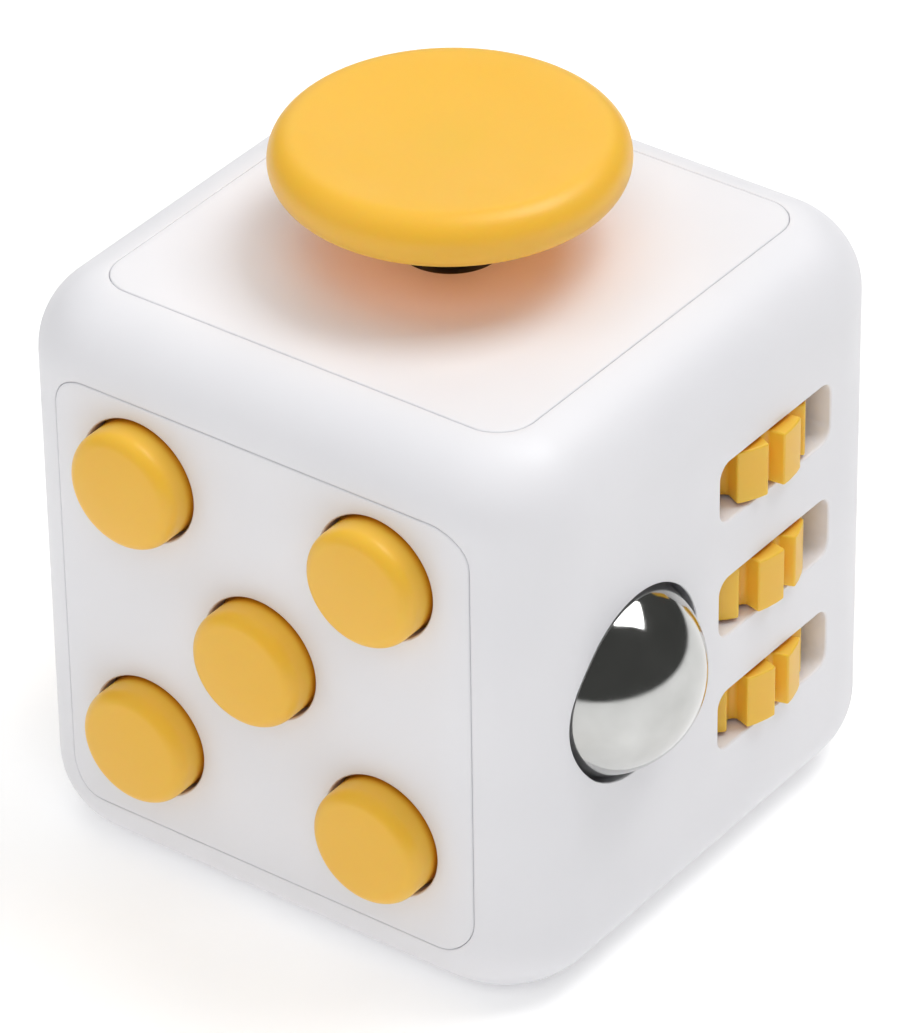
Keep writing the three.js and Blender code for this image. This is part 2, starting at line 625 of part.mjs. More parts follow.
// Bracket behind the wheels, in the right face's frame.
const bracketShape = roundedRectangle(WHEEL.plateHalf, earOut, WHEEL.plateCorner, 3);
const bracketPlate = onFace('right', extruded(bracketShape, -WHEEL.plateFoot, -WHEEL.plateTop)
  .translate(WHEEL.plateU, WHEEL.v, 0));
const ears = [earIn, -earOut].map((low) => onFace('right', block(
  WHEEL.u - WHEEL.earBack, WHEEL.u + WHEEL.earReach,
  WHEEL.v + low, WHEEL.v + low + WHEEL.earThick,
  -WHEEL.plateTop - 0.3, wheelAxis + WHEEL.earReach,
)));
const axleBore = solid(rod(WHEEL.boreR, -HALF, HALF, 20)
  .translate(HALF + wheelAxis, WHEEL.u, HALF + WHEEL.v));
addSolid('wheel_bracket', cut(
  join(bracketPlate, ...ears),
  axleBore,
  ...wheelPosts.map((v) =>
    bore('right', WHEEL.postU, v, -WHEEL.plateFoot - 1, -WHEEL.plateTop + 1)),
), finish.dark);

// Comb of three leaf fingers lying on the bracket, one behind each wheel.
const [spineU, rootU, fingerU] = WHEEL.combU;
const comb = new THREE.Shape();
comb.moveTo(spineU, -WHEEL.combEnd);
for (const k of [-1, 0, 1]) {
  const low = k * WHEEL.pitch - WHEEL.combHalf;
  const high = k * WHEEL.pitch + WHEEL.combHalf;
  comb.lineTo(rootU, low);
  comb.lineTo(fingerU, low);
  comb.lineTo(fingerU, high);
  comb.lineTo(rootU, high);
}
comb.lineTo(rootU, WHEEL.combEnd);
comb.lineTo(spineU, WHEEL.combEnd);
const combFoot = -WHEEL.plateTop + WHEEL.combGap;
const leaf = extruded(comb, combFoot, combFoot + WHEEL.combSkin);
add(roll, 'wheel_click_spring', leaf.translate(0, WHEEL.v, 0), finish.steel);
wheelPosts.forEach((v, i) => {
  const screw = add(roll, `wheel_screw_${i + 1}`, panScrew(BALL.screwLength), finish.zinc);
  screw.position.set(WHEEL.postU, v, -WHEEL.plateFoot - HEAD_GAP);
});

// ---- Left: rocker switch ------------------------------------------------------------

const rockerPosts = [ROCKER.postV, -ROCKER.postV];
const pinHeight = -ROCKER.pivot;
const hangers = [ROCKER.earInner, -ROCKER.earOuter].map((low) => onFace('left', block(
  low, low + ROCKER.earOuter - ROCKER.earInner, -ROCKER.earHalf, ROCKER.earHalf,
  pinHeight - ROCKER.earDrop, -PLATE + 0.2,
)));
const acrossFace = (low, high, r, segments) => rod(r, low, high, segments)
  .rotateY(Math.PI / 2).translate(0, 0, pinHeight);
const rockerHole = roundedRectangle(ROCKER.openHalfWidth, ROCKER.openHalfLength, 0.8, 4);
addSolid('left_panel', cut(
  join(
    plate('left'),
    ...hangers,
    ...rockerPosts.map((v) =>
      boss('left', 0, v, ROCKER.postR, CLEAR - ROCKER.baseTop, BOSS_ROOT)),
  ),
  onFace('left', extruded(rockerHole, -PLATE - 0.3, 1)),
  onFace('left', acrossFace(-HALF, HALF, ROCKER.pinHole, 16)),
  ...rockerPosts.map((v) => bore('left', 0, v, -ROCKER.baseTop - 1, ROCKER.boreTop)),
), finish.white);

const flip = faceGroup('left');
const rockerGroup = new THREE.Group();
rockerGroup.position.z = pinHeight;
rockerGroup.rotation.x = THREE.MathUtils.degToRad(ROCKER.tilt);
flip.add(rockerGroup);

// Side view of the rocker about its pin: a shallow V on top, round ends, a boss beneath.
const crest = ROCKER.floor + ROCKER.reach * Math.tan(THREE.MathUtils.degToRad(ROCKER.tilt));
const endR = Math.hypot(ROCKER.reach, crest);
const endFrom = THREE.MathUtils.radToDeg(Math.atan2(crest, ROCKER.reach));
const rightEnd = arc(0, 0, endR, ROCKER.skirt, endFrom, 5);
const leftEnd = rightEnd.map(([x, y]) => [-x, y]).reverse();
const rockerOutline = [
  [ROCKER.bossHalf, ROCKER.bossTop],
  ...rightEnd,
  [0, ROCKER.floor],
  ...leftEnd,
  [-ROCKER.bossHalf, ROCKER.bossTop],
  [-ROCKER.bossHalf, ROCKER.bossFoot],
  [ROCKER.bossHalf, ROCKER.bossFoot],
].map(([x, y]) => new THREE.Vector2(x, y));
// Extruded along u: shape x becomes v, shape y becomes the height over the pin.
const upright = new THREE.Matrix4().makeBasis(new THREE.Vector3(0, 1, 0),
  new THREE.Vector3(0, 0, 1), new THREE.Vector3(1, 0, 0));
const paddle = solid(extruded(new THREE.Shape(rockerOutline), -ROCKER.halfWidth, ROCKER.halfWidth)
  .applyMatrix4(upright));
const paddleBore = solid(rod(ROCKER.pinBore, -HALF, HALF, 16).rotateY(Math.PI / 2));
const plungerWell = solid(rod(ROCKER.wellR, ROCKER.bossFoot - 1, ROCKER.wellTop, 16));
add(rockerGroup, 'rocker', geometryOf(cut(paddle, paddleBore, plungerWell)), finish.yellow);
add(rockerGroup, 'rocker_plunger', turned([
  [0, -ROCKER.plungerTip],
  [ROCKER.plungerR * 0.7, -ROCKER.plungerTip + 0.3],
  [ROCKER.plungerR, -ROCKER.plungerTip + 0.8],
  [ROCKER.plungerR, ROCKER.plungerTop],
  [0, ROCKER.plungerTop],
], 16), finish.steel);
add(rockerGroup, 'rocker_spring', coilSpring(ROCKER.springR, ROCKER.springWire,
  ROCKER.plungerTop + ROCKER.springEnd, ROCKER.wellTop - ROCKER.springEnd,
  ROCKER.springTurns), finish.zinc);
add(flip, 'rocker_pin', acrossFace(-ROCKER.earOuter, ROCKER.earOuter, ROCKER.pinR, 16),
  finish.steel);

// Base whose hollow is an arc about the pin, so the plunger's tip sweeps along it.
const baseShape = roundedRectangle(ROCKER.baseHalf, ROCKER.baseReach, ROCKER.baseCorner, 4);
const ramp = block(-ROCKER.rampHalf, ROCKER.rampHalf, -ROCKER.rampReach, ROCKER.rampReach,
  -ROCKER.baseTop - ROCKER.rampRoot, -ROCKER.baseTop + ROCKER.rampRise);
addSolid('rocker_base', cut(
  join(
    onFace('left', extruded(baseShape, -ROCKER.baseFoot, -ROCKER.baseTop)),
    onFace('left', ramp),
  ),
  onFace('left', acrossFace(-ROCKER.sweepHalf, ROCKER.sweepHalf, ROCKER.sweepR, 32)),
  ...rockerPosts.map((v) => bore('left', 0, v, -ROCKER.baseFoot - 1, -ROCKER.baseTop + 1)),
), finish.dark);
rockerPosts.forEach((v, i) => {
  const screw = add(flip, `rocker_screw_${i + 1}`, panScrew(ROCKER.screwLength), finish.zinc);
  screw.position.set(0, v, -ROCKER.baseFoot - HEAD_GAP);
});

// ---- Back: spinning dial --------------------------------------------------------------

addSolid('back_panel', cut(
  join(plate('back'), peg('back', 0, 0, DIAL.bossR, -DIAL.bossFoot, BOSS_ROOT, 28)),
  peg('back', 0, 0, DIAL.recessR, -DIAL.recess, 1, 36),
  peg('back', 0, 0, DIAL.boreR, -DIAL.bossFoot - 1, 0, 28),
), finish.white);

const spin = faceGroup('back');
const dialBody = solid(turned([
  [0, -DIAL.shaftFoot],
  [DIAL.shaftR, -DIAL.shaftFoot],
  [DIAL.shaftR, -DIAL.sunk],
  [DIAL.r - DIAL.edge, -DIAL.sunk],
  [DIAL.r, -DIAL.sunk + DIAL.edge],
  ...arc(DIAL.r - DIAL.round, DIAL.proud - DIAL.round, DIAL.round, 0, 90, 3),
  [0, DIAL.proud],
], 36));
const dimpleSphereR = (DIAL.dimpleR ** 2 + DIAL.dimpleDepth ** 2) / 2 / DIAL.dimpleDepth;
const dimple = solid(new THREE.SphereGeometry(dimpleSphereR, 32, 24).rotateX(Math.PI / 2)
  .translate(0, DIAL.dimpleAt, DIAL.proud - DIAL.dimpleDepth + dimpleSphereR));
const dialBore = solid(rod(SCREW.bore, -DIAL.shaftFoot - 1, DIAL.boreTop, 12));
add(spin, 'dial', geometryOf(cut(dialBody, dimple, dialBore)), finish.yellow);
add(spin, 'dial_bushing',
  tube(DIAL.bushInner, DIAL.bushOuter, -DIAL.bossFoot, -DIAL.recess - DIAL.bushGap, 28),
  finish.brass);
add(spin, 'dial_washer',
  tube(DIAL.washerBore, DIAL.washerR, -DIAL.washerFoot, -DIAL.shaftFoot - HEAD_GAP, 24),
  finish.zinc);
const dialScrew = add(spin, 'dial_screw', panScrew(DIAL.screwLength), finish.zinc);
dialScrew.position.z = -DIAL.washerFoot - HEAD_GAP;

// ---- Bottom: thumb dish ------------------------------------------------------------------

const dishSphereR = (DISH.r ** 2 + DISH.depth ** 2) / 2 / DISH.depth;
const dishAngle = THREE.MathUtils.radToDeg(Math.asin(DISH.r / dishSphereR));
const dish = onFace('bottom', turned([
  ...arc(0, dishSphereR - DISH.depth, dishSphereR, -90, -90 + dishAngle, 4),
  [DISH.r, 1],
  [0, 1],
], 36));
addSolid('bottom_panel', cut(
  join(plate('bottom'), peg('bottom', 0, 0, DISH.bossR, -DISH.bossFoot, BOSS_ROOT, 36)),
  dish,
), finish.white);

export default cube;
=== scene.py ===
import json
import math

import bmesh
import bpy
from mathutils import Matrix, Vector


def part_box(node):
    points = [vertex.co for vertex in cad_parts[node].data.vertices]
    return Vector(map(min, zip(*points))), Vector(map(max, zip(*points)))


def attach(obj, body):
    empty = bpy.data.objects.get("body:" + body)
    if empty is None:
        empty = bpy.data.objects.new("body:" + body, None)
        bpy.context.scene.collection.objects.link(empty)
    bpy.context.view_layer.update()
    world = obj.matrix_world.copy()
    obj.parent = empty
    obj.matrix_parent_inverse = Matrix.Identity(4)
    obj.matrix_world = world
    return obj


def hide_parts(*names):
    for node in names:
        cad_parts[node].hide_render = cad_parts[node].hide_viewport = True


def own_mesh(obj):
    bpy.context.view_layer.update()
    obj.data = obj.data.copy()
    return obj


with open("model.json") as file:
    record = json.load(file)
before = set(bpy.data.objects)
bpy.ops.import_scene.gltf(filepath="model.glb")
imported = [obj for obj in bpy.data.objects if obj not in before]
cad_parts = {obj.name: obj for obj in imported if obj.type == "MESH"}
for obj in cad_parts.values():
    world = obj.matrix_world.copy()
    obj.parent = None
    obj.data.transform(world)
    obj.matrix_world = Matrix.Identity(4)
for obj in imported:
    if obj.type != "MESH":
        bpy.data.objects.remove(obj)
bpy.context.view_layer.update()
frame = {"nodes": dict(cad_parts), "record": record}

MM = 0.001
FINE = 2


def box_mm(node):
    low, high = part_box(node)
    return low / MM, high / MM


def centre_mm(node):
    low, high = box_mm(node)
    return (low + high) / 2


# ---- Driving dimensions, in millimetres --------------------------------------------------

SIDE = box_mm("top_panel")[1].z        # edge length of the cube
HALF = SIDE / 2
EDGE_R = 5.6                           # fillet of the upright edges
RIM_R = 4.2                            # fillet round the top and the bottom
WALL = 2.2
PLATE = 1.2                            # thickness of the let-in plates
PLATE_GROWTH = 0.07                    # the plates reach this far past the CAD's, for a fine seam
PLATE_HALF = box_mm("top_panel")[1].x + PLATE_GROWTH
PLATE_CORNER = 2.1
SEAM = 0.015                           # gap round a plate
LEDGE = 0.7                            # width of the step that a plate rests on
LIP = 0.09                             # edge rounding of plates and openings
SCREW_BORE = 0.65

# ---- Face frames: local +Z points out of the face -----------------------------------------


def face_matrix(x, y, z, origin):
    turn = Matrix((x, y, z)).transposed().to_4x4()
    return Matrix.Translation(origin) @ turn


FACES = {
    "top": face_matrix((1, 0, 0), (0, 1, 0), (0, 0, 1), (0, 0, SIDE)),
    "bottom": face_matrix((1, 0, 0), (0, -1, 0), (0, 0, -1), (0, 0, 0)),
    "front": face_matrix((1, 0, 0), (0, 0, 1), (0, -1, 0), (0, -HALF, HALF)),
    "back": face_matrix((-1, 0, 0), (0, 0, 1), (0, 1, 0), (0, HALF, HALF)),
    "right": face_matrix((0, 1, 0), (0, 0, 1), (1, 0, 0), (HALF, 0, HALF)),
    "left": face_matrix((0, -1, 0), (0, 0, 1), (-1, 0, 0), (-HALF, 0, HALF)),
}
WORLD = Matrix.Identity(4)


def on_face(name, point):
    """(u, v, w) of a point of the cube's frame, in one face's frame."""
    return FACES[name].inverted() @ Vector(point)


def surface_drop(name, u, v):
    """How far the filleted surface lies below the face's plane at (u, v)."""
    if name in ("top", "bottom"):
        qx, qy = abs(u) - (HALF - EDGE_R), abs(v) - (HALF - EDGE_R)
        outside = math.hypot(max(qx, 0), max(qy, 0)) + min(max(qx, qy), 0) - EDGE_R
        inset = -outside
        reach = max(RIM_R - max(inset, 0), 0)
        return RIM_R - math.sqrt(max(RIM_R ** 2 - reach ** 2, 0))
    reach = max(abs(v) - (HALF - RIM_R), 0)
    inset = RIM_R - math.sqrt(max(RIM_R ** 2 - reach ** 2, 0))
    radius = EDGE_R - inset
    past = max(abs(u) - (HALF - EDGE_R), 0)
    return HALF - (HALF - EDGE_R) - math.sqrt(max(radius ** 2 - past ** 2, 0))


# ---- Mesh building ------------------------------------------------------------------------


def make_object(name, verts, faces, place=WORLD):
    mesh = bpy.data.meshes.new(name)
    mesh.from_pydata([(place @ Vector(v)) * MM for v in verts], [], faces)
    mesh.update()
    obj = bpy.data.objects.new(name, mesh)
    bpy.context.scene.collection.objects.link(obj)
    work = bmesh.new()
    work.from_mesh(mesh)
    bmesh.ops.recalc_face_normals(work, faces=work.faces)
    work.to_mesh(mesh)
    work.free()
    return obj


def arc(cr, ch, r, start, end, steps):
    points = []
    for i in range(steps + 1):
        a = math.radians(start + (end - start) * i / steps)
        points.append((cr + r * math.cos(a), ch + r * math.sin(a)))
    return points


def rounded(profile, steps=5):
    """A polyline whose corners (r, h, fillet) are replaced by arcs."""
    out = []
    count = len(profile)
    for i, corner in enumerate(profile):
        here = Vector(corner[:2])
        fillet = corner[2] if len(corner) > 2 else 0
        if not fillet or i in (0, count - 1):
            out.append(tuple(here))
            continue
        back = (Vector(profile[i - 1][:2]) - here).normalized()
        ahead = (Vector(profile[i + 1][:2]) - here).normalized()
        half = back.angle(ahead) / 2
        reach = fillet / math.tan(half)
        middle = here + (back + ahead).normalized() * (fillet / math.sin(half))
        first, last = here + back * reach - middle, here + ahead * reach - middle
        sweep = first.angle_signed(last)
        for k in range(steps + 1):
            a = -sweep * k / steps
            spin = Matrix.Rotation(a, 2)
            out.append(tuple(middle + spin @ first))
    return out


def turned(name, profile, place=WORLD, segments=48):
    """Surface of revolution about local +Z from (r, h) points."""
    segments *= FINE
    verts, rings = [], []
    closed = profile[0] == profile[-1]
    points = profile[:-1] if closed else profile
    for r, h in points:
        if r < 1e-6:
            rings.append([len(verts)])
            verts.append((0, 0, h))
            continue
        rings.append(list(range(len(verts), len(verts) + segments)))
        for k in range(segments):
            a = 2 * math.pi * k / segments
            verts.append((r * math.cos(a), r * math.sin(a), h))
    pairs = list(zip(rings, rings[1:]))
    if closed:
        pairs.append((rings[-1], rings[0]))
    faces = []
    for low, high in pairs:
        for k in range(segments):
            n = (k + 1) % segments
            if len(low) == 1 and len(high) > 1:
                faces.append((low[0], high[n], high[k]))
            elif len(high) == 1 and len(low) > 1:
                faces.append((low[k], low[n], high[0]))
            elif len(low) > 1:
                faces.append((low[k], low[n], high[n], high[k]))
    return make_object(name, verts, faces, place)


def loft(name, rings, place=WORLD):
    """Closed body through rings of equal length, with flat ends."""
    count = len(rings[0])
    verts = [p for ring in rings for p in ring]
    faces = []
    for k in range(len(rings) - 1):
        for i in range(count):
            a, b = k * count + i, k * count + (i + 1) % count
            faces.append((a, b, b + count, a + count))
    faces.append(tuple(reversed(range(count))))
    top = (len(rings) - 1) * count
    faces.append(tuple(range(top, top + count)))
    return make_object(name, verts, faces, place)


def rect_ring(half_u, half_v, corner, w, at=(0, 0), steps=10):
    """Rounded rectangle at height w, or at w(u, v) if w is a function."""
    points = []
    for su, sv, start in ((1, -1, -90), (1, 1, 0), (-1, 1, 90), (-1, -1, 180)):
        centre = (at[0] + su * (half_u - corner), at[1] + sv * (half_v - corner))
        points += arc(*centre, corner, start, start + 90, steps)
    height = w if callable(w) else (lambda u, v: w)
    return [(u, v, height(u, v)) for u, v in points]


def block(name, half, low, high, edge_r, rim_r, corner=20, rim=16):
    """Square block with filleted upright edges and rims."""
    rings = []
    for end in (0, 1):
        for i in range(rim + 1):
            a = math.radians(90 * (i if end == 0 else rim - i) / rim)
            inset, rise = rim_r * (1 - math.sin(a)), rim_r * (1 - math.cos(a))
            z = low + rise if end == 0 else high - rise
            rings.append(rect_ring(half - inset, half - inset, edge_r - inset, z, steps=corner))
    return loft(name, rings)


def combine(target, cutters, operation="DIFFERENCE"):
    """Joins or cuts with each helper body in turn, then deletes the helpers."""
    for helper in cutters:
        modifier = target.modifiers.new("work", "BOOLEAN")
        modifier.operation = operation
        modifier.solver = "EXACT"
        modifier.object = helper
        settle(target)
        bpy.data.objects.remove(helper)
    return target


def settle(obj):
    """Applies the modifiers on an object."""
    graph = bpy.context.evaluated_depsgraph_get()
    graph.update()
    mesh = bpy.data.meshes.new_from_object(obj.evaluated_get(graph))
    old = obj.data
    obj.modifiers.clear()
    obj.data = mesh
    mesh.name = obj.name
    bpy.data.meshes.remove(old)


def smooth(obj, angle=32):
    """Smooth shading with crisp edges above the angle, and flat faces kept flat."""
    work = bmesh.new()
    work.from_mesh(obj.data)
    bmesh.ops.remove_doubles(work, verts=work.verts, dist=2e-7)
    bmesh.ops.dissolve_degenerate(work, edges=work.edges, dist=1e-7)
    work.to_mesh(obj.data)
    work.free()
    for polygon in obj.data.polygons:
        polygon.use_smooth = True
    obj.data.set_sharp_from_angle(angle=math.radians(angle))
    modifier = obj.modifiers.new("normals", "WEIGHTED_NORMAL")
    modifier.keep_sharp = True
    modifier.weight = 50
    settle(obj)
    return obj


# ---- Cutters ------------------------------------------------------------------------------

MOUTH_TURNS = (0, 0.4, 0.8, 1.15)      # steps of a mouth's rounding, in radians
# A plate opening's rounded edge, as shares of LIP: outwards, and above the surface.
OPENING_LIP = ((0, -1), (0.12, -0.55), (0.45, -0.18), (1.1, 0.1))


def round_cutter(u, v, r, depth, face, lip=LIP, segments=48):
    """Round hole down to depth, with its mouth's edge rounded off."""
    place = FACES[face] @ Matrix.Translation((u, v, 0))
    mouth = [(r + lip * (1 - math.cos(a)), -lip * (1 - math.sin(a)))
             for a in MOUTH_TURNS]
    profile = [(0, -depth), (r, -depth), *mouth, (r + lip * 1.15, lip * 0.6)]
    profile += [(r + lip * 1.15, 2), (0, 2)]
    return turned("cutter", profile, place, segments)


def rect_cutter(half_u, half_v, corner, depth, face, at=(0, 0), lip=LIP):
    """Rounded-rectangle hole with its mouth's edge rounded off."""
    rings = [rect_ring(half_u, half_v, corner, -depth, at)]
    for a in MOUTH_TURNS:
        out, w = lip * (1 - math.cos(a)), -lip * (1 - math.sin(a))
        rings.append(rect_ring(half_u + out, half_v + out, corner + out, w, at))
    out = lip * 1.15
    for w in (lip * 0.6, 2):
        rings.append(rect_ring(half_u + out, half_v + out, corner + out, w, at))
    return loft("cutter", rings, FACES[face])


def peg(u, v, r, low, high, face, segments=24):
    place = FACES[face] @ Matrix.Translation((u, v, 0))
    return turned("peg", [(0, low), (r, low), (r, high), (0, high)], place, segments)


def opening_cutter(face):
    """Stepped opening for a plate; its mouth follows the filleted surface."""
    half, corner = PLATE_HALF + SEAM, PLATE_CORNER + SEAM
    inner = half - LEDGE

    def at_surface(rise):
        return lambda u, v: rise - surface_drop(face, u, v)

    rings = [rect_ring(inner, inner, corner - LEDGE / 2, w) for w in (-WALL - 1, -PLATE)]
    rings.append(rect_ring(half, half, corner, -PLATE))
    for out_share, rise_share in OPENING_LIP:
        out, rise = out_share * LIP, rise_share * LIP
        rings.append(rect_ring(half + out, half + out, corner + out, at_surface(rise)))
    out = 1.3 * LIP
    for w in (0.8, 2):
        rings.append(rect_ring(half + out, half + out, corner + out, w))
    return loft("cutter", rings, FACES[face])


def plate_body(name, face):
    """Let-in plate whose outside follows the cube's filleted surface."""
    def ring(inset, rise):
        half = PLATE_HALF - inset
        corner = max(PLATE_CORNER - inset, 0.25)
        return rect_ring(half, half, corner, lambda u, v: rise - surface_drop(face, u, v))

    rings = [rect_ring(PLATE_HALF, PLATE_HALF, PLATE_CORNER, -PLATE + 0.05)]
    for i in range(6):
        a = math.radians(90 * i / 5)
        rings.append(ring(LIP * (1 - math.cos(a)), -LIP * (1 - math.sin(a))))
    zone = PLATE_HALF - (HALF - EDGE_R)
    steps = 10
    for i in range(1, steps + 1):
        rings.append(ring(LIP + (zone - LIP + 0.05) * i / steps, 0))
    return loft(name, rings, FACES[face])


# ---- Materials ----------------------------------------------------------------------------


def node_material(name):
    material = bpy.data.materials.new(name)
    material.use_nodes = True
    nodes, links = material.node_tree.nodes, material.node_tree.links
    shader = nodes["Principled BSDF"]
    coords = nodes.new("ShaderNodeTexCoord")
    return material, nodes, links, shader, coords


def noise(nodes, links, coords, scale, detail=3.0, rough=0.5):
    texture = nodes.new("ShaderNodeTexNoise")
    texture.inputs["Scale"].default_value = scale
    texture.inputs["Detail"].default_value = detail
    texture.inputs["Roughness"].default_value = rough
    links.new(coords.outputs["Object"], texture.inputs["Vector"])
    return texture.outputs["Fac"]


def remap(nodes, links, value, low, high, start=0.3, end=0.7):
    node = nodes.new("ShaderNodeMapRange")
    node.inputs["From Min"].default_value = start
    node.inputs["From Max"].default_value = end
    node.inputs["To Min"].default_value = low
    node.inputs["To Max"].default_value = high
    links.new(value, node.inputs["Value"])
    return node.outputs["Result"]


def mix_colour(nodes, links, factor, first, second):
    node = nodes.new("ShaderNodeMix")
    node.data_type = "RGBA"
    links.new(factor, node.inputs["Factor"])
    for socket, value in ((node.inputs["A"], first), (node.inputs["B"], second)):
        if isinstance(value, tuple):
            socket.default_value = (*value, 1)
        else:
            links.new(value, socket)
    return node.outputs["Result"]


def bump(nodes, links, height, distance, strength, onto=None):
    node = nodes.new("ShaderNodeBump")
    node.inputs["Distance"].default_value = distance
    node.inputs["Strength"].default_value = strength
    links.new(height, node.inputs["Height"])
    if onto is not None:
        links.new(onto, node.inputs["Normal"])
    return node.outputs["Normal"]


def crevice(nodes, distance):
    """1 in the open, towards 0 in seams and gaps."""
    node = nodes.new("ShaderNodeAmbientOcclusion")
    node.samples = 8
    node.inputs["Distance"].default_value = distance
    return node.outputs["AO"]


def moulded_plastic(name, colour, shade, gloss, glow=0.0, glow_radius=(1, 1, 1),
                    crevice_shade_gamma=0.6):
    """Satin injection-moulded plastic: spark-eroded grain, slow waviness, handled patches, and
    painted shade that darkens the base colour in seams and gaps.
    """
    material, nodes, links, shader, coords = node_material(name)
    drift = remap(nodes, links, noise(nodes, links, coords, 90, 2), 0, 1)
    tinted = mix_colour(nodes, links, drift, colour, shade)
    # Painted shade: ambient occlusion blends the base colour towards a deeper copy of the shade tone
    # in seams, gaps and hollows.
    corner = remap(nodes, links, crevice(nodes, 0.5 * MM), 1, 0, 0.35, 0.85)
    painted_crevice_shade = tuple(c ** (1 / crevice_shade_gamma) for c in shade)
    links.new(mix_colour(nodes, links, corner, tinted, painted_crevice_shade), shader.inputs["Base Color"])
    patches = noise(nodes, links, coords, 260, 4, 0.6)
    links.new(remap(nodes, links, patches, gloss - 0.05, gloss + 0.06),
              shader.inputs["Roughness"])
    grain = bump(nodes, links, noise(nodes, links, coords, 11000, 2), 4e-6, 0.5)
    wave = bump(nodes, links, noise(nodes, links, coords, 420, 1), 8e-6, 0.35, grain)
    links.new(wave, shader.inputs["Normal"])
    shader.inputs["IOR"].default_value = 1.49
    shader.inputs["Subsurface Weight"].default_value = glow
    shader.inputs["Subsurface Radius"].default_value = glow_radius
    shader.inputs["Subsurface Scale"].default_value = MM
    return material


def metal(name, colour, shade, gloss, grain_scale, grain_height=2e-6, smudge=0.05):
    """Metal with fine finishing marks and handled, slightly duller patches."""
    material, nodes, links, shader, coords = node_material(name)
    shader.inputs["Metallic"].default_value = 1
    drift = remap(nodes, links, noise(nodes, links, coords, 300, 3), 0, 1)
    links.new(mix_colour(nodes, links, drift, colour, shade), shader.inputs["Base Color"])
    patches = noise(nodes, links, coords, 500, 5, 0.65)
    links.new(remap(nodes, links, patches, gloss, gloss + smudge, 0.4, 0.75),
              shader.inputs["Roughness"])
    marks = noise(nodes, links, coords, grain_scale, 3)
    links.new(bump(nodes, links, marks, grain_height, 0.4), shader.inputs["Normal"])
    return material


MATERIALS = {
    "white_plastic": moulded_plastic(
        "white_plastic", (0.83, 0.825, 0.85), (0.80, 0.797, 0.825), 0.42,
        glow=0.12, glow_radius=(0.8, 0.8, 0.8)),
    "yellow_plastic": moulded_plastic(
        "yellow_plastic", (0.87, 0.495, 0.048), (0.85, 0.48, 0.042), 0.40,
        glow=0.25, glow_radius=(4.0, 1.4, 0.1)),
    "dark_plastic": moulded_plastic(
        "dark_plastic", (0.03, 0.028, 0.027), (0.024, 0.023, 0.022), 0.5),
    "silicone": moulded_plastic(
        "silicone", (0.62, 0.62, 0.6), (0.58, 0.58, 0.56), 0.62,
        glow=0.3, glow_radius=(1, 1, 1)),
    "polished_steel": metal(
        "polished_steel", (0.56, 0.562, 0.55), (0.46, 0.462, 0.45), 0.07, 1500, 4e-6, 0.08),
    "spring_steel": metal(
        "spring_steel", (0.56, 0.57, 0.58), (0.48, 0.49, 0.5), 0.22, 4000),
    "zinc_steel": metal(
        "zinc_steel", (0.52, 0.53, 0.55), (0.44, 0.46, 0.5), 0.32, 3000),
    "brass": metal("brass", (0.72, 0.50, 0.19), (0.62, 0.42, 0.14), 0.24, 4000),
}


def dress(obj, slot):
    obj.data.materials.clear()
    obj.data.materials.append(MATERIALS[slot])


NODE_SLOT = {s["node"]: s["material_slot"] for s in frame["record"]["subparts"]}
NODE_BODY = {n: b for b, ns in frame["record"]["behaviour"]["bodies"].items() for n in ns}
for node_name, node_object in frame["nodes"].items():
    dress(node_object, NODE_SLOT[node_name])


def stand_in(obj, node):
    """The finished piece takes the CAD node's place, body and material slot."""
    slot = NODE_SLOT[node]
    dress(obj, slot)
    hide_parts(node)
    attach(obj, NODE_BODY[node])
    return obj


# ---- Housing ------------------------------------------------------------------------------

BALL = on_face("right", centre_mm("steel_ball"))
BALL_R = (box_mm("steel_ball")[1].y - box_mm("steel_ball")[0].y) / 2
SOCKET_R = BALL_R + 0.3
# The ball opening's rounded edge, as shares of LIP: above the surface, and outwards.
SOCKET_LIP = ((-0.5, 0.15), (-0.1, 0.55), (0.25, 1.2))
SLOT_HALF = (4.93, 1.75)
SLOT_CORNER = 0.8
WHEELS = [f"thumb_wheel_{i}" for i in (1, 2, 3)]
AXLE = on_face("right", centre_mm("wheel_axle"))


def socket_mouth():
    """Flares the ball opening's edge where the sphere meets the filleted face."""
    rings = []
    steps = 64 * FINE

    def ring(rise, out, flat=None):
        points = []
        for k in range(steps):
            a = 2 * math.pi * k / steps
            r = math.sqrt(SOCKET_R ** 2 - BALL.z ** 2)
            for _ in range(3):
                u, v = BALL.x + r * math.cos(a), BALL.y + r * math.sin(a)
                w = -surface_drop("right", u, v) + rise
                r = math.sqrt(SOCKET_R ** 2 - (w - BALL.z) ** 2)
            r += out
            points.append((BALL.x + r * math.cos(a), BALL.y + r * math.sin(a),
                           w if flat is None else flat))
        return points

    rings.append(ring(-0.8, -2, -1.2))
    rings.append(ring(-LIP, 0.01))
    for rise_share, out_share in SOCKET_LIP:
        rings.append(ring(rise_share * LIP, out_share * LIP))
    rings.append(ring(0.25 * LIP, 1.2 * LIP, 2))
    return loft("cutter", rings, FACES["right"])


def ball_cutter():
    """Spherical socket that runs inwards as a bore for the ball's travel."""
    profile = arc(0, 0, SOCKET_R, 90, 0, 24)
    profile = [(max(r, 0), h) for r, h in profile] + [(SOCKET_R, -4), (0, -4)]
    return turned("cutter", profile, FACES["right"] @ Matrix.Translation(BALL), 48)


